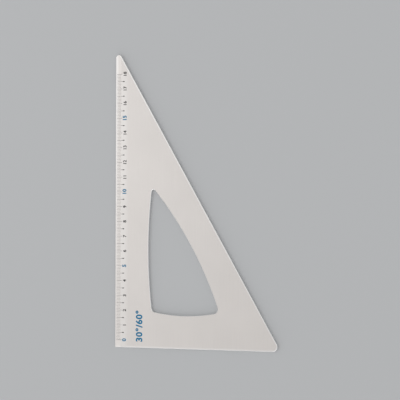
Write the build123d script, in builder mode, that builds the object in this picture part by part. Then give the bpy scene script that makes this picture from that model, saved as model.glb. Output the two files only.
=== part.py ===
"""Drafting triangle: an aluminium set square with a bowed window and a printed millimetre scale.

The plate lies flat on its underside. The scale edge runs along Y on the -X side, the base edge along X on the
-Y side, and the slope closes the triangle. The origin is the middle of the plate's outline box, on the underside.
"""
import os
from math import cos, floor, radians, sin, tan

from build123d import *

# Plate, in millimetres and degrees
long_leg = 205.0
tip_angle = 30.0
plate_thickness = 2.0
tip_radius = 2.5
heel_radius = 3.2
square_corner_radius = 0.6
edge_break = 0.25

# Bevel along the scale edge, and the break at its foot
bevel_width = 4.6
scale_edge_height = 1.0
scale_edge_break = 0.3

# Window: how far its chords stand in from the three edges, and how far its sides bow out from the chords
window_from_scale_edge = 27.4
window_from_base_edge = 24.5
window_from_slope = 24.6
scale_side_bow = 2.65
base_side_bow = 2.6
slope_side_bow = 4.7
window_tip_radius = 1.5
window_base_radius = 3.2

# Printed scale: fine lines in from the scale edge, and a bold dash at the inner end of each half-centimetre line
zero_from_base_edge = 5.0
unmarked_tip = 18.0
mark_start = 1.2
millimetre_reach = 4.4
centimetre_reach = 5.3
half_centimetre_reach = 5.8
dash_length = 1.25
dash_width = 0.55
fine_line_width = 0.11
main_line_width = 0.18
ink_thickness = 0.03
MILLIMETRES_PER_CENTIMETRE = 10

# Extents of the outline once its corners are rounded
slope_angle = radians(tip_angle)
base_leg = long_leg * tan(slope_angle)
tip_tangent = tip_radius / tan(slope_angle / 2)
heel_tangent = heel_radius / tan((radians(90) - slope_angle) / 2)
plate_height = long_leg - tip_tangent + tip_radius
plate_width = base_leg - heel_tangent + heel_radius
scale_edge_x = -plate_width / 2
base_edge_y = -plate_height / 2
square_corner = Plane(origin=(scale_edge_x, base_edge_y, 0))

# Corners of the window, where its three chords meet, measured from the square corner
slope_chord = long_leg * sin(slope_angle) - window_from_slope
window_heel_x = (slope_chord - window_from_base_edge * sin(slope_angle)) / cos(slope_angle)
window_tip_y = (slope_chord - window_from_scale_edge * cos(slope_angle)) / sin(slope_angle)
window_foot = (window_from_scale_edge, window_from_base_edge)
window_heel = (window_heel_x, window_from_base_edge)
window_tip = (window_from_scale_edge, window_tip_y)


def upper_face_height(distance):
    """Height of the upper face at a distance in from the scale edge: up the bevel, then flat."""
    bevel_drop = plate_thickness - scale_edge_height
    return plate_thickness - bevel_drop * max(1 - distance / bevel_width, 0)


# Plate: rounded outline, bowed window, broken edges, then the bevel planed along the scale edge
with BuildPart() as plate:
    with BuildSketch(square_corner) as outline:
        with BuildLine():
            Polyline((0, 0), (base_leg, 0), (0, long_leg), close=True)
        make_face()
        fillet(outline.vertices().sort_by(Axis.Y)[-1], tip_radius)
        fillet(outline.vertices().sort_by(Axis.X)[-1], heel_radius)
        fillet(outline.vertices().sort_by_distance((0, 0))[0], square_corner_radius)
    extrude(amount=plate_thickness)

    with BuildSketch(square_corner) as window:
        with BuildLine():
            SagittaArc(window_foot, window_heel, -base_side_bow)
            SagittaArc(window_heel, window_tip, -slope_side_bow)
            SagittaArc(window_tip, window_foot, -scale_side_bow)
        make_face()
        fillet(window.vertices().sort_by(Axis.Y)[-1], window_tip_radius)
        fillet(window.vertices().sort_by(Axis.Y)[:2], window_base_radius)
    extrude(amount=plate_thickness, mode=Mode.SUBTRACT)

    underside_edges = plate.edges().group_by(Axis.Z)[0]
    upper_edges = plate.edges().group_by(Axis.Z)[-1]
    chamfer(underside_edges + upper_edges, edge_break)

    with BuildSketch(Plane.XZ):
        with BuildLine():
            Polyline(
                (scale_edge_x, scale_edge_height - scale_edge_break),
                (scale_edge_x + scale_edge_break, upper_face_height(scale_edge_break)),
                (scale_edge_x + bevel_width, plate_thickness),
                (scale_edge_x, plate_thickness),
                close=True,
            )
        make_face()
    extrude(amount=plate_height, both=True, mode=Mode.SUBTRACT)

os.makedirs("parts", exist_ok=True)
plate.part.label = "plate"
export_step(plate.part, "parts/plate.step")


def stroke_section(start, reach):
    """Corners of one ink stroke cut lengthwise: along the upper face, over the bevel's crest, and back on top."""
    stations = [start, reach]
    if start < bevel_width < reach:
        stations.insert(1, bevel_width)
    seat = [(scale_edge_x + station, upper_face_height(station)) for station in stations]
    top = [(x, z + ink_thickness) for x, z in reversed(seat)]
    return seat + top


def print_marks(label, strokes, millimetres):
    """Print one kind of mark, made of strokes in line, at each of the given millimetres, as separate solids."""
    with BuildPart() as mark:
        for start, reach, width in strokes:
            with BuildSketch(Plane.XZ):
                with BuildLine():
                    Polyline(*stroke_section(start, reach), close=True)
                make_face()
            extrude(amount=width / 2, both=True)

    zero_y = base_edge_y + zero_from_base_edge
    with BuildPart() as marks:
        with Locations(*[(0, zero_y + millimetre) for millimetre in millimetres]):
            add(mark.part)
    marks.part.label = label
    export_step(marks.part, f"parts/{label}.step")


# Scale marks
scale_centimetres = floor((long_leg - zero_from_base_edge - unmarked_tip) / MILLIMETRES_PER_CENTIMETRE)
scale_length = scale_centimetres * MILLIMETRES_PER_CENTIMETRE
half_centimetre = MILLIMETRES_PER_CENTIMETRE // 2
whole_positions = range(0, scale_length + 1, MILLIMETRES_PER_CENTIMETRE)
half_positions = range(half_centimetre, scale_length, MILLIMETRES_PER_CENTIMETRE)
fine_positions = [place for place in range(scale_length) if place % half_centimetre]

millimetre_line = (mark_start, millimetre_reach, fine_line_width)
centimetre_line = (mark_start, centimetre_reach, main_line_width)
half_centimetre_line = (mark_start, half_centimetre_reach, main_line_width)
half_centimetre_dash = (half_centimetre_reach, half_centimetre_reach + dash_length, dash_width)

print_marks("centimetre_marks", [centimetre_line], whole_positions)
print_marks("half_centimetre_marks", [half_centimetre_line, half_centimetre_dash], half_positions)
print_marks("millimetre_marks", [millimetre_line], fine_positions)
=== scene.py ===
"""Looks of a drafting triangle: satin anodised aluminium, a printed centimetre scale and a pale studio."""
import math

import bmesh
import bpy
from bpy.props import FloatProperty, FloatVectorProperty, IntProperty, PointerProperty, StringProperty
from bpy.types import NodeSocket, Operator, Panel, PropertyGroup
from mathutils import Matrix, Quaternion, Vector


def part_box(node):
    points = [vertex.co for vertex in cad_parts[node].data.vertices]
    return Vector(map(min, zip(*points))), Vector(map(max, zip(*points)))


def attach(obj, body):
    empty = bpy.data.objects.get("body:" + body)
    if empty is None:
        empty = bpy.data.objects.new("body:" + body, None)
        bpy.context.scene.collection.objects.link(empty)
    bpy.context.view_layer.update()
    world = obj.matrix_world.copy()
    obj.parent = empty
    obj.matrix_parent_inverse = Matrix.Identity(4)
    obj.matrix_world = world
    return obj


bl_info = {
    "name": "Drafting Triangle",
    "version": (1, 0, 0),
    "blender": (4, 5, 0),
    "location": "View3D > Sidebar > Triangle",
    "description": "Finishes an aluminium drafting triangle, prints its scale and sets up a pale studio",
    "category": "Object",
}

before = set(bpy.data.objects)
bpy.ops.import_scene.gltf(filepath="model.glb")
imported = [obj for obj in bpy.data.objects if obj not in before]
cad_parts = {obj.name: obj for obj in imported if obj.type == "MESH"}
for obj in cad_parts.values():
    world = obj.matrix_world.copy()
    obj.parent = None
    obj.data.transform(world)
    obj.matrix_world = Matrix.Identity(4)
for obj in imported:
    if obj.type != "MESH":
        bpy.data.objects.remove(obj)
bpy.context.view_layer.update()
PLATE_LOW, PLATE_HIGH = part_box("plate")
MARKS_LOW, MARKS_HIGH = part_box("centimetre_marks")
MARK_NODES = ("centimetre_marks", "half_centimetre_marks", "millimetre_marks")

# Where the bevel along the scale edge meets the flat face, which lies at the plate's full height
PLATE_CORNERS = [vertex.co.copy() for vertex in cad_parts["plate"].data.vertices]
HEIGHT_TOLERANCE = 0.000002
FACE_CORNERS = [corner for corner in PLATE_CORNERS if corner.z > PLATE_HIGH.z - HEIGHT_TOLERANCE]
CREST_X = min(corner.x for corner in FACE_CORNERS)

# The scale: where its zero lies, how many centimetres it has, and how thick its ink is
CENTIMETRE = 0.01
LAST_CENTIMETRE = round((MARKS_HIGH.y - MARKS_LOW.y) / CENTIMETRE)
ZERO_Y = (MARKS_LOW.y + MARKS_HIGH.y - LAST_CENTIMETRE * CENTIMETRE) / 2
INK_THICKNESS = MARKS_HIGH.z - PLATE_HIGH.z

# Figures: segments in each curve of an outline, steps in the rounded edge of the ink, the distance within
# which two corners are one, and the turn that makes figures read up the scale edge
FIGURE_RESOLUTION = 8
INK_EDGE_STEPS = 1
MERGE_DISTANCE = 0.0000003
FIGURE_TURN = math.radians(90)

# How far a surface faces up or down: etched faces above the first limit, cut walls and broken edges below
# the second
FACE_LEAN = 0.92
EDGE_LEAN = 0.75

# Angle at the tip, between the scale edge and the slope
TIP_ANGLE = math.radians(30)

# Sockets of a Mix node, for values and for colours: the two inputs and the result
MIX_SOCKETS = {"FLOAT": (2, 3, 0), "RGBA": (6, 7, 2)}


class TriangleMetalSettings(PropertyGroup):
    """Satin anodised finish of the plate."""

    face_colour: FloatVectorProperty(
        name="Face colour",
        description="Colour of the anodised faces",
        default=(0.700, 0.668, 0.645),
        min=0,
        max=1,
        subtype="COLOR",
    )
    face_contrast: FloatProperty(
        name="Face contrast",
        description="Share by which the anodising gets darker and lighter over the faces",
        default=0.14,
        min=0,
        max=0.5,
        subtype="FACTOR",
    )
    face_roughness: FloatProperty(
        name="Face roughness",
        description="Roughness of the etched faces",
        default=0.48,
        min=0,
        max=1,
        subtype="FACTOR",
    )
    # The painted highlight rims and band are also mixed towards this edge colour
    edge_colour: FloatVectorProperty(
        name="Edge colour",
        description="Colour of the cut walls and broken edges, where the metal is brighter",
        default=(0.93, 0.925, 0.92),
        min=0,
        max=1,
        subtype="COLOR",
    )
    edge_contrast: FloatProperty(
        name="Edge contrast",
        description="Share by which the cutter's lines are darker and lighter than the cut edges",
        default=0.10,
        min=0,
        max=0.5,
        subtype="FACTOR",
    )
    edge_roughness: FloatProperty(
        name="Edge roughness",
        description="Roughness of the cut walls and broken edges",
        default=0.30,
        min=0,
        max=1,
        subtype="FACTOR",
    )
    roughness_spread: FloatProperty(
        name="Roughness spread",
        description="How far the roughness strays up and down with the grain and the cutter's lines",
        default=0.10,
        min=0,
        max=0.3,
        subtype="FACTOR",
    )
    grain_size: FloatProperty(
        name="Grain size",
        description="Width of one grain of the etched faces",
        default=0.00014,
        min=0.00001,
        unit="LENGTH",
    )
    grain_depth: FloatProperty(
        name="Grain depth",
        description="Height of the etched grain and of the cutter's lines",
        default=0.000008,
        min=0,
        unit="LENGTH",
    )
    patch_size: FloatProperty(
        name="Patch size",
        description="Width of the faint cloudy patches in the anodising",
        default=0.03,
        min=0.001,
        unit="LENGTH",
    )
    streak_width: FloatProperty(
        name="Streak width",
        description="Width of the faint streaks left by rolling the sheet",
        default=0.00025,
        min=0.00001,
        unit="LENGTH",
    )
    streak_length: FloatProperty(
        name="Streak length",
        description="Length of the rolling streaks and of the cutter's lines",
        default=0.04,
        min=0.001,
        unit="LENGTH",
    )
    streak_share: FloatProperty(
        name="Streak share",
        description="Share of the streaks in the broad mottling of the faces, with patches as the rest",
        default=0.5,
        min=0,
        max=1,
        subtype="FACTOR",
    )
    grain_share: FloatProperty(
        name="Grain share",
        description="Share of the grain in the tone of the faces, with the broad mottling as the rest",
        default=0.45,
        min=0,
        max=1,
        subtype="FACTOR",
    )
    cutter_line_height: FloatProperty(
        name="Cutter line height",
        description="Height of one line that the cutter left along the edges",
        default=0.00012,
        min=0.00001,
        unit="LENGTH",
    )
    # Painted highlights: the rims along the outer edges and the band under the numerals are painted lighter
    # into the face colour
    rim_fade: FloatProperty(
        name="Rim fade",
        description="Share of a rim's width over which it fades into the face",
        default=0.5,
        min=0.01,
        max=1,
        subtype="FACTOR",
    )
    slope_rim_width: FloatProperty(
        name="Slope rim width",
        description="Width of the bright rim on the faces along the slope",
        default=0.0009,
        min=0.00001,
        unit="LENGTH",
    )
    slope_rim_brightness: FloatProperty(
        name="Slope rim brightness",
        description="Share of the edge colour in the rim along the slope, where it reaches the tip",
        default=0.75,
        min=0,
        max=1,
        subtype="FACTOR",
    )
    base_rim_width: FloatProperty(
        name="Base rim width",
        description="Width of the bright rim on the faces along the base edge",
        default=0.0014,
        min=0.00001,
        unit="LENGTH",
    )
    base_rim_brightness: FloatProperty(
        name="Base rim brightness",
        description="Share of the edge colour in the rim along the base edge",
        default=0.28,
        min=0,
        max=1,
        subtype="FACTOR",
    )
    scale_rim_width: FloatProperty(
        name="Scale rim width",
        description="Width of the bright rim on the faces along the scale edge",
        default=0.0026,
        min=0.00001,
        unit="LENGTH",
    )
    scale_rim_brightness: FloatProperty(
        name="Scale rim brightness",
        description="Share of the edge colour in the rim along the scale edge, where it reaches the tip",
        default=0.40,
        min=0,
        max=1,
        subtype="FACTOR",
    )
    band_width: FloatProperty(
        name="Band width",
        description="Width of the brighter band under the numerals, in from the crest of the bevel",
        default=0.0056,
        min=0.00001,
        unit="LENGTH",
    )
    band_fade: FloatProperty(
        name="Band fade",
        description="Share of the band's width over which it fades into the face",
        default=0.5,
        min=0.01,
        max=1,
        subtype="FACTOR",
    )
    band_brightness: FloatProperty(
        name="Band brightness",
        description="Share of the edge colour in the band",
        default=0.20,
        min=0,
        max=1,
        subtype="FACTOR",
    )


class TrianglePrintSettings(PropertyGroup):
    """Inks, numerals and angle label."""

    black: FloatVectorProperty(
        name="Black ink",
        description="Colour of the scale lines and most numerals",
        default=(0.026, 0.026, 0.028),
        min=0,
        max=1,
        subtype="COLOR",
    )
    blue: FloatVectorProperty(
        name="Blue ink",
        description="Colour of every fifth numeral and of the angle label",
        default=(0.003, 0.175, 0.335),
        min=0,
        max=1,
        subtype="COLOR",
    )
    thin_ink: FloatProperty(
        name="Thin ink",
        description="How much paler the ink gets where it lies thin",
        default=0.02,
        min=0,
        max=0.5,
    )
    thin_spot_size: FloatProperty(
        name="Thin spot size",
        description="Width of the spots where the ink lies thin",
        default=0.0012,
        min=0.0001,
        unit="LENGTH",
    )
    ink_roughness: FloatProperty(
        name="Ink roughness",
        description="Roughness of the dry ink",
        default=0.52,
        min=0,
        max=1,
        subtype="FACTOR",
    )
    ink_gloss: FloatProperty(
        name="Ink gloss",
        description="Specular level of the dry ink",
        default=0.25,
        min=0,
        max=1,
        subtype="FACTOR",
    )
    numeral_height: FloatProperty(
        name="Numeral height",
        description="Height of the black numerals",
        default=0.0024,
        min=0.0005,
        unit="LENGTH",
    )
    numeral_spread: FloatProperty(
        name="Numeral spread",
        description="How far the ink of the black numerals spreads past their thin outlines",
        default=0.00010,
        min=0.00001,
        unit="LENGTH",
    )
    numeral_baseline: FloatProperty(
        name="Numeral baseline",
        description="Distance from the scale edge to the foot of the numerals",
        default=0.0086,
        min=0,
        unit="LENGTH",
    )
    main_step: IntProperty(
        name="Main step",
        description="Centimetres from one blue numeral to the next",
        default=5,
        min=1,
    )
    main_height: FloatProperty(
        name="Main numeral height",
        description="Height of the blue numerals",
        default=0.0029,
        min=0.0005,
        unit="LENGTH",
    )
    main_spread: FloatProperty(
        name="Main numeral spread",
        description="How far the ink of the blue numerals spreads past their thin outlines",
        default=0.00015,
        min=0.00001,
        unit="LENGTH",
    )
    label: StringProperty(
        name="Angle label",
        description="Angles printed near the square corner",
        default="30°/60°",
    )
    label_height: FloatProperty(
        name="Label height",
        description="Height of the label's figures",
        default=0.0048,
        min=0.0005,
        unit="LENGTH",
    )
    label_spread: FloatProperty(
        name="Label spread",
        description="How far the ink of the label spreads past its thin outlines",
        default=0.00023,
        min=0.00001,
        unit="LENGTH",
    )
    label_spacing: FloatProperty(
        name="Label spacing",
        description="Room for each sign of the label, as a multiple of the font's own",
        default=1.1,
        min=0.5,
        max=2,
    )
    label_baseline: FloatProperty(
        name="Label baseline",
        description="Distance from the scale edge to the foot of the label",
        default=0.0207,
        min=0,
        unit="LENGTH",
    )
    label_middle: FloatProperty(
        name="Label middle",
        description="Distance from the base edge to the middle of the label",
        default=0.0145,
        min=0,
        unit="LENGTH",
    )


class TriangleStageSettings(PropertyGroup):
    """Floor, lights and camera."""

    floor_colour: FloatVectorProperty(
        name="Floor colour",
        description="Colour of the pale floor",
        default=(0.525, 0.535, 0.545),
        min=0,
        max=1,
        subtype="COLOR",
    )
    floor_width: FloatProperty(
        name="Floor width",
        description="Width of the square floor",
        default=6.0,
        min=0.5,
        unit="LENGTH",
    )
    floor_gap: FloatProperty(
        name="Floor gap",
        description="Gap that keeps the floor from coinciding with the underside of the plate",
        default=0.00005,
        min=0,
        unit="LENGTH",
    )
    zenith_strength: FloatProperty(
        name="Zenith strength",
        description="Radiance of the white surroundings overhead",
        default=0.65,
        min=0,
    )
    bright_horizon: FloatProperty(
        name="Bright horizon",
        description="Radiance of the white surroundings at the horizon on their bright side",
        default=1.62,
        min=0,
    )
    dim_horizon: FloatProperty(
        name="Dim horizon",
        description="Radiance of the white surroundings at the horizon on their dim side",
        default=0.42,
        min=0,
    )
    bright_side: FloatVectorProperty(
        name="Bright side",
        description="Direction of the bright side of the surroundings",
        default=(-0.3, -0.95, 0),
        subtype="DIRECTION",
    )
    key_place: FloatVectorProperty(
        name="Key place",
        description="Middle of the softbox above the scale edge",
        default=(-0.64, 0.14, 0.80),
        subtype="XYZ",
        unit="LENGTH",
    )
    key_width: FloatProperty(
        name="Key width",
        description="Width of the softbox above the scale edge",
        default=0.5,
        min=0.01,
        unit="LENGTH",
    )
    key_power: FloatProperty(
        name="Key power",
        description="Power of the softbox above the scale edge",
        default=0.93,
        min=0,
        unit="POWER",
    )
    fill_place: FloatVectorProperty(
        name="Fill place",
        description="Middle of the softbox beside the slope",
        default=(0.90, 0.60, 0.45),
        subtype="XYZ",
        unit="LENGTH",
    )
    fill_width: FloatProperty(
        name="Fill width",
        description="Width of the softbox beside the slope",
        default=0.8,
        min=0.01,
        unit="LENGTH",
    )
    fill_power: FloatProperty(
        name="Fill power",
        description="Power of the softbox beside the slope",
        default=0.7,
        min=0,
        unit="POWER",
    )
    camera_target: FloatVectorProperty(
        name="Camera target",
        description="Point in the middle of the picture",
        default=(0.00419, -0.00012, PLATE_HIGH.z),
        subtype="XYZ",
        unit="LENGTH",
    )
    camera_azimuth: FloatProperty(
        name="Camera azimuth",
        description="Turn of the camera round the plate, from the base edge towards the 60 degree corner",
        default=math.radians(85.38),
        subtype="ANGLE",
    )
    camera_elevation: FloatProperty(
        name="Camera elevation",
        description="Height of the camera above the horizon",
        default=math.radians(68.39),
        subtype="ANGLE",
    )
    camera_roll: FloatProperty(
        name="Camera roll",
        description="Roll that puts the scale edge upright in the picture",
        default=math.radians(-85.61),
        subtype="ANGLE",
    )
    camera_distance: FloatProperty(
        name="Camera distance",
        description="Distance from the camera to the point it looks at",
        default=0.9392,
        min=0.1,
        unit="LENGTH",
    )
    camera_lens: FloatProperty(
        name="Camera lens",
        description="Focal length",
        default=127.5,
        min=10,
        unit="CAMERA",
    )
    camera_sensor: FloatProperty(
        name="Camera sensor",
        description="Width of the sensor",
        default=36,
        min=1,
        unit="CAMERA",
    )


class TriangleSettings(PropertyGroup):
    """All settings of the drafting triangle."""

    metal: PointerProperty(type=TriangleMetalSettings)
    printing: PointerProperty(type=TrianglePrintSettings)
    stage: PointerProperty(type=TriangleStageSettings)


# Materials


def add_node(tree, kind, inputs=None, **options):
    """Adds a node, sets its options, and links or sets each of its named inputs."""
    node = tree.nodes.new(kind)
    for option, value in options.items():
        setattr(node, option, value)
    for socket, source in (inputs or {}).items():
        if isinstance(source, NodeSocket):
            tree.links.new(source, node.inputs[socket])
        else:
            node.inputs[socket].default_value = source
    return node


def calculate(tree, operation, *values):
    """Result of one operation on values, each a socket or a constant."""
    return add_node(tree, "ShaderNodeMath", dict(enumerate(values)), operation=operation).outputs["Value"]


def mix(tree, kind, factor, first, second):
    """Mixes two values or two colours, each a socket or a constant, by a factor."""
    first_socket, second_socket, result = MIX_SOCKETS[kind]
    inputs = {0: factor, first_socket: first, second_socket: second}
    return add_node(tree, "ShaderNodeMix", inputs, data_type=kind).outputs[result]


def shades(colour, contrast):
    """A darker and a lighter shade of a colour."""
    darker = (*(channel * (1 - contrast) for channel in colour), 1)
    lighter = (*(channel * (1 + contrast) for channel in colour), 1)
    return darker, lighter


def stretched_noise(tree, size):
    """Noise whose grains have the given size along X, Y and Z."""
    place = add_node(tree, "ShaderNodeTexCoord").outputs["Object"]
    scale = [1 / length for length in size]
    stretched = add_node(tree, "ShaderNodeMapping", {"Vector": place, "Scale": scale}).outputs["Vector"]
    return add_node(tree, "ShaderNodeTexNoise", {"Vector": stretched, "Scale": 1.0}).outputs["Fac"]


def etched_grain_group():
    """Node group for a finely etched surface: grain for relief, and broader patches for tone."""
    if "etched_grain" in bpy.data.node_groups:
        return bpy.data.node_groups["etched_grain"]
    group = bpy.data.node_groups.new("etched_grain", "ShaderNodeTree")
    sizes = add_node(group, "NodeGroupInput")
    results = add_node(group, "NodeGroupOutput")
    place = add_node(group, "ShaderNodeTexCoord").outputs["Object"]
    for size, result in (("Grain Size", "Grain"), ("Patch Size", "Patches")):
        group.interface.new_socket(size, in_out="INPUT", socket_type="NodeSocketFloat")
        group.interface.new_socket(result, in_out="OUTPUT", socket_type="NodeSocketFloat")
        scale = calculate(group, "DIVIDE", 1.0, sizes.outputs[size])
        noise = add_node(group, "ShaderNodeTexNoise", {"Vector": place, "Scale": scale})
        group.links.new(noise.outputs["Fac"], results.inputs[result])
    return group


def etched_grain(tree, grain_size, patch_size):
    """Places the etched surface in a material: its grain and its patches."""
    sizes = {"Grain Size": grain_size, "Patch Size": patch_size}
    group = tree.nodes.new("ShaderNodeGroup")
    group.node_tree = etched_grain_group()
    for socket, size in sizes.items():
        group.inputs[socket].default_value = size
    return group.outputs["Grain"], group.outputs["Patches"]


def cut_edge_mask(tree):
    """Mask of the cut walls and broken edges, which lean away from the etched faces."""
    normal = add_node(tree, "ShaderNodeTexCoord").outputs["Normal"]
    upright = add_node(tree, "ShaderNodeSeparateXYZ", {"Vector": normal}).outputs["Z"]
    lean = calculate(tree, "ABSOLUTE", upright)
    limits = {"Value": lean, "From Min": FACE_LEAN, "From Max": EDGE_LEAN}
    return add_node(tree, "ShaderNodeMapRange", limits).outputs["Result"]


def reach_towards(tree, place, side):
    """How far a place lies towards one side."""
    product = add_node(tree, "ShaderNodeVectorMath", {0: place, 1: side}, operation="DOT_PRODUCT")
    return product.outputs["Value"]


def fade_in(tree, reach, edge, width, fade, brightness):
    """Painted highlight that lies along an edge and fades away over part of its width."""
    limits = {"From Min": edge - width, "From Max": edge - width * (1 - fade), "To Max": brightness}
    return add_node(tree, "ShaderNodeMapRange", {"Value": reach, **limits}).outputs["Result"]


def bright_rims(tree, metal):
    """Painted highlights: bright rims along the three outer edges and a brighter band under the numerals.
    """
    scale_side = Vector((-1, 0, 0))
    base_side = Vector((0, -1, 0))
    tip_side = -base_side
    slope_side = Vector((math.cos(TIP_ANGLE), math.sin(TIP_ANGLE), 0))
    place = add_node(tree, "ShaderNodeTexCoord").outputs["Object"]

    # The painted highlight band lies in from the crest of the bevel, and stops at the last mark
    reach = reach_towards(tree, place, scale_side)
    bright = fade_in(tree, reach, -CREST_X, metal.band_width, metal.band_fade, metal.band_brightness)
    for side, limit in ((scale_side, -CREST_X), (tip_side, MARKS_HIGH.y)):
        past = calculate(tree, "GREATER_THAN", reach_towards(tree, place, side), limit)
        bright = mix(tree, "FLOAT", past, bright, 0.0)

    # Painted highlight rims along the scale edge and slope get brighter all the way from the base edge to
    # the tip
    length = PLATE_HIGH.y - PLATE_LOW.y
    reach = reach_towards(tree, place, tip_side)
    scale_rim = fade_in(tree, reach, PLATE_HIGH.y, length, fade=1, brightness=metal.scale_rim_brightness)
    slope_rim = fade_in(tree, reach, PLATE_HIGH.y, length, fade=1, brightness=metal.slope_rim_brightness)
    rims = (
        (scale_side, metal.scale_rim_width, scale_rim),
        (base_side, metal.base_rim_width, metal.base_rim_brightness),
        (slope_side, metal.slope_rim_width, slope_rim),
    )
    for side, width, brightness in rims:
        edge = max(side.dot(corner) for corner in PLATE_CORNERS)
        rim = fade_in(tree, reach_towards(tree, place, side), edge, width, metal.rim_fade, brightness)
        bright = calculate(tree, "MAXIMUM", bright, rim)
    return bright


def new_material(name):
    """New material: the material, its node tree and its shader."""
    material = bpy.data.materials.new(name)
    material.use_nodes = True
    shader = next(node for node in material.node_tree.nodes if node.type == "BSDF_PRINCIPLED")
    return material, material.node_tree, shader


def anodised_aluminium(metal):
    """Satin metal: etched grain, patches and rolling streaks on its faces, cutter's lines on its edges."""
    material, tree, shader = new_material("anodised_aluminium")
    grain, patches = etched_grain(tree, metal.grain_size, metal.patch_size)
    length = metal.streak_length
    streaks = stretched_noise(tree, (metal.streak_width, length, metal.streak_width))
    cutter_lines = stretched_noise(tree, (length, length, metal.cutter_line_height))
    cut_edge = cut_edge_mask(tree)

    mottling = mix(tree, "FLOAT", metal.streak_share, patches, streaks)
    tone = mix(tree, "FLOAT", metal.grain_share, mottling, grain)
    face_colour = mix(tree, "RGBA", tone, *shades(metal.face_colour, metal.face_contrast))
    edge_colour = mix(tree, "RGBA", cutter_lines, *shades(metal.edge_colour, metal.edge_contrast))
    # The painted highlights along the rims and under the numerals, and the bare cut edges, take the
    # brighter edge colour
    bright = calculate(tree, "MAXIMUM", bright_rims(tree, metal), cut_edge)
    colour = mix(tree, "RGBA", bright, face_colour, edge_colour)
    tree.links.new(colour, shader.inputs["Base Color"])

    spread = metal.roughness_spread
    face_limits = (metal.face_roughness - spread, metal.face_roughness + spread)
    edge_limits = (metal.edge_roughness - spread, metal.edge_roughness + spread)
    face_roughness = mix(tree, "FLOAT", grain, *face_limits)
    edge_roughness = mix(tree, "FLOAT", cutter_lines, *edge_limits)
    roughness = mix(tree, "FLOAT", cut_edge, face_roughness, edge_roughness)
    tree.links.new(roughness, shader.inputs["Roughness"])

    relief = mix(tree, "FLOAT", cut_edge, grain, cutter_lines)
    bump = add_node(tree, "ShaderNodeBump", {"Height": relief, "Distance": metal.grain_depth})
    tree.links.new(bump.outputs["Normal"], shader.inputs["Normal"])
    shader.inputs["Metallic"].default_value = 1.0
    return material


def printing_ink(name, colour, metal, inks):
    """Dry printing ink, paler where it lies thin, with the etched grain of the metal showing through."""
    material, tree, shader = new_material(name)
    grain, thin_spots = etched_grain(tree, metal.grain_size, inks.thin_spot_size)
    pale = [channel + inks.thin_ink for channel in colour]
    tree.links.new(mix(tree, "RGBA", thin_spots, (*colour, 1), (*pale, 1)), shader.inputs["Base Color"])
    limits = (inks.ink_roughness - metal.roughness_spread, inks.ink_roughness + metal.roughness_spread)
    tree.links.new(mix(tree, "FLOAT", grain, *limits), shader.inputs["Roughness"])
    bump = add_node(tree, "ShaderNodeBump", {"Height": grain, "Distance": metal.grain_depth})
    tree.links.new(bump.outputs["Normal"], shader.inputs["Normal"])
    shader.inputs["Specular IOR Level"].default_value = inks.ink_gloss
    return material


def ink_of(slot, settings):
    """The material of one of the two ink slots, made once."""
    if slot in bpy.data.materials:
        return bpy.data.materials[slot]
    inks = settings.printing
    colour = {"black_ink": inks.black, "blue_ink": inks.blue}[slot]
    return printing_ink(slot, colour, settings.metal, inks)


def coat_node(name, material):
    """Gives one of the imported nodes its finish."""
    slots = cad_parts[name].data.materials
    slots.clear()
    slots.append(material)


class TRIANGLE_OT_finish_plate(Operator):
    """Give the plate its satin anodised finish"""

    bl_idname = "triangle.finish_plate"
    bl_label = "Finish Plate"

    def execute(self, context):
        coat_node("plate", anodised_aluminium(context.scene.triangle.metal))
        return {"FINISHED"}


class TRIANGLE_OT_ink_scale_lines(Operator):
    """Give the scale lines their black ink"""

    bl_idname = "triangle.ink_scale_lines"
    bl_label = "Ink Scale Lines"

    def execute(self, context):
        ink = ink_of("black_ink", context.scene.triangle)
        for name in MARK_NODES:
            coat_node(name, ink)
        return {"FINISHED"}


# Printed figures


def inked_text(words, height, spread, spacing):
    """Mesh of figures, centred on their foot: thin outlines with a round edge of ink spread past them."""
    curve = bpy.data.curves.new("figures", "FONT")
    text = bpy.data.objects.new("figures", curve)
    curve.align_x = "CENTER"
    curve.resolution_u = FIGURE_RESOLUTION

    # A nought and the ink round it have the given height
    curve.body = "0"
    nought = bpy.data.meshes.new_from_object(text)
    scale = (height - 2 * spread) / max(corner.co.y for corner in nought.vertices)

    curve.body = words
    curve.space_character = spacing
    curve.bevel_depth = spread / scale
    curve.bevel_resolution = INK_EDGE_STEPS
    mesh = bpy.data.meshes.new_from_object(text)
    flattening = Matrix.Diagonal((1, 1, INK_THICKNESS / spread, 1))
    mesh.transform(Matrix.Translation((0, spread, 0)) @ flattening @ Matrix.Scale(scale, 4))
    bpy.data.meshes.remove(nought)
    bpy.data.objects.remove(text)
    bpy.data.curves.remove(curve)
    return mesh


def print_figures(name, figures, spread, ink, spacing=1.0):
    """Prints figures, each given as (words, height, foot), as one thin layer of ink on the plate."""
    layer = bmesh.new()
    for words, height, foot in figures:
        mesh = inked_text(words, height, spread, spacing)
        mesh.transform(Matrix.Translation(foot) @ Matrix.Rotation(FIGURE_TURN, 4, "Z"))
        layer.from_mesh(mesh)
        bpy.data.meshes.remove(mesh)
    if not layer.faces:
        raise RuntimeError(f"{name} has no outlines to print")
    bmesh.ops.remove_doubles(layer, verts=layer.verts, dist=MERGE_DISTANCE)
    bmesh.ops.beautify_fill(layer, faces=layer.faces, edges=layer.edges)

    # The lower half of the rounded ink is flattened onto the plate
    sunken = [corner for corner in layer.verts if corner.co.z < PLATE_HIGH.z]
    from_plate = Matrix.Translation((0, 0, -PLATE_HIGH.z))
    bmesh.ops.scale(layer, verts=sunken, vec=(1, 1, 0), space=from_plate)
    bmesh.ops.recalc_face_normals(layer, faces=layer.faces)

    mesh = bpy.data.meshes.new(name)
    layer.to_mesh(mesh)
    layer.free()
    mesh.materials.append(ink)
    piece = bpy.data.objects.new(name, mesh)
    bpy.context.collection.objects.link(piece)
    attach(piece, "root")


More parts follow.
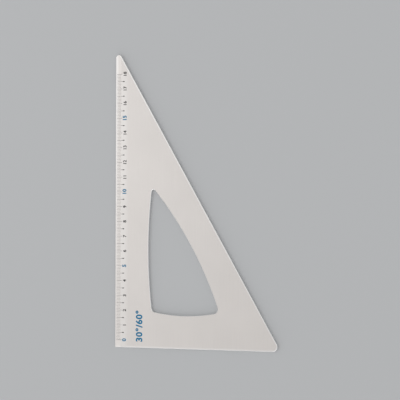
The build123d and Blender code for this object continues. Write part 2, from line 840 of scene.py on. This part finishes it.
class TRIANGLE_OT_print_numerals(Operator):
    """Print the centimetre numerals, every fifth one larger and in blue"""

    bl_idname = "triangle.print_numerals"
    bl_label = "Print Numerals"

    def execute(self, context):
        settings = context.scene.triangle
        inks = settings.printing
        plain, main = [], []
        for number in range(LAST_CENTIMETRE + 1):
            foot = Vector((PLATE_LOW.x + inks.numeral_baseline, ZERO_Y + number * CENTIMETRE, PLATE_HIGH.z))
            if number % inks.main_step:
                plain.append((str(number), inks.numeral_height, foot))
            else:
                main.append((str(number), inks.main_height, foot))
        print_figures("numerals", plain, inks.numeral_spread, ink_of("black_ink", settings))
        print_figures("main_numerals", main, inks.main_spread, ink_of("blue_ink", settings))
        return {"FINISHED"}


class TRIANGLE_OT_print_label(Operator):
    """Print the angle label near the square corner"""

    bl_idname = "triangle.print_label"
    bl_label = "Print Angle Label"

    def execute(self, context):
        settings = context.scene.triangle
        inks = settings.printing
        foot = Vector((PLATE_LOW.x + inks.label_baseline, PLATE_LOW.y + inks.label_middle, PLATE_HIGH.z))
        figures = [(inks.label, inks.label_height, foot)]
        ink = ink_of("blue_ink", settings)
        print_figures("angle_label", figures, inks.label_spread, ink, inks.label_spacing)
        return {"FINISHED"}


# Stage


def lay_floor(stage):
    """Plain pale floor just under the plate."""
    grid = bmesh.new()
    bmesh.ops.create_grid(grid, x_segments=1, y_segments=1, size=stage.floor_width / 2)
    bmesh.ops.translate(grid, verts=grid.verts, vec=(0, 0, PLATE_LOW.z - stage.floor_gap))
    mesh = bpy.data.meshes.new("floor")
    grid.to_mesh(mesh)
    grid.free()
    material, _, shader = new_material("pale_floor")
    shader.inputs["Base Color"].default_value = (*stage.floor_colour, 1)
    shader.inputs["Roughness"].default_value = 1.0
    mesh.materials.append(material)
    floor = bpy.data.objects.new("floor", mesh)
    bpy.context.collection.objects.link(floor)


def hang_softbox(name, place, width, power):
    """Square soft light that looks at the middle of the plate."""
    light = bpy.data.lights.new(name, "AREA")
    light.shape = "SQUARE"
    light.size = width
    light.energy = power
    lamp = bpy.data.objects.new(name, light)
    lamp.location = place
    lamp.rotation_euler = Vector(place).to_track_quat("Z", "Y").to_euler()
    bpy.context.collection.objects.link(lamp)


def light_surroundings(stage):
    """White surroundings, which change from a bright side to a dim side along the horizon."""
    world = bpy.data.worlds.new("white_studio")
    world.use_nodes = True
    tree = world.node_tree
    background = next(node for node in tree.nodes if node.type == "BACKGROUND")
    background.inputs["Color"].default_value = (1, 1, 1, 1)
    direction = add_node(tree, "ShaderNodeTexCoord").outputs["Generated"]
    rise = add_node(tree, "ShaderNodeSeparateXYZ", {"Vector": direction}).outputs["Z"]

    # The reach towards the bright side goes from -1 on the dim side to 1
    limits = {"Value": reach_towards(tree, direction, stage.bright_side), "From Min": -1.0}
    share = add_node(tree, "ShaderNodeMapRange", limits).outputs["Result"]
    horizon = mix(tree, "FLOAT", share, stage.dim_horizon, stage.bright_horizon)
    strength = mix(tree, "FLOAT", rise, horizon, stage.zenith_strength)
    tree.links.new(strength, background.inputs["Strength"])
    bpy.context.scene.world = world


def aim_camera(stage):
    """Camera at the viewing angle of the picture."""
    camera = bpy.data.cameras.new("camera")
    camera.sensor_width = stage.camera_sensor
    camera.lens = stage.camera_lens
    eye = bpy.data.objects.new("camera", camera)
    turn = Matrix.Rotation(stage.camera_azimuth, 3, "Z") @ Matrix.Rotation(-stage.camera_elevation, 3, "X")
    back = turn @ Vector((0, -1, 0))
    eye.location = Vector(stage.camera_target) + back * stage.camera_distance
    facing = back.to_track_quat("Z", "Y") @ Quaternion((0, 0, 1), stage.camera_roll)
    eye.rotation_euler = facing.to_euler()
    bpy.context.collection.objects.link(eye)
    bpy.context.scene.camera = eye


class TRIANGLE_OT_set_stage(Operator):
    """Lay the floor and set up the lights and the camera"""

    bl_idname = "triangle.set_stage"
    bl_label = "Set Stage"

    def execute(self, context):
        stage = context.scene.triangle.stage
        lay_floor(stage)
        light_surroundings(stage)
        hang_softbox("key_softbox", stage.key_place, stage.key_width, stage.key_power)
        hang_softbox("fill_softbox", stage.fill_place, stage.fill_width, stage.fill_power)
        aim_camera(stage)
        context.scene.view_settings.view_transform = "Standard"
        return {"FINISHED"}


# Add-on


class VIEW3D_PT_drafting_triangle(Panel):
    """Steps that finish the drafting triangle, and their settings"""

    bl_idname = "VIEW3D_PT_drafting_triangle"
    bl_label = "Drafting Triangle"
    bl_space_type = "VIEW_3D"
    bl_region_type = "UI"
    bl_category = "Triangle"

    def draw(self, context):
        settings = context.scene.triangle
        for step in STEPS:
            self.layout.operator(step.bl_idname)
        for group in (settings.metal, settings.printing, settings.stage):
            box = self.layout.box()
            for name in type(group).__annotations__:
                box.prop(group, name)


STEPS = (
    TRIANGLE_OT_finish_plate,
    TRIANGLE_OT_ink_scale_lines,
    TRIANGLE_OT_print_numerals,
    TRIANGLE_OT_print_label,
    TRIANGLE_OT_set_stage,
)
CLASSES = (
    TriangleMetalSettings,
    TrianglePrintSettings,
    TriangleStageSettings,
    TriangleSettings,
    *STEPS,
    VIEW3D_PT_drafting_triangle,
)


def register():
    for cls in CLASSES:
        bpy.utils.register_class(cls)
    bpy.types.Scene.triangle = PointerProperty(type=TriangleSettings)


def unregister():
    del bpy.types.Scene.triangle
    for cls in reversed(CLASSES):
        bpy.utils.unregister_class(cls)


def main():
    register()
    bpy.ops.triangle.finish_plate()
    bpy.ops.triangle.ink_scale_lines()
    bpy.ops.triangle.print_numerals()
    bpy.ops.triangle.print_label()
    bpy.ops.triangle.set_stage()
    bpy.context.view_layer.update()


if __name__ == "__main__":
    main()
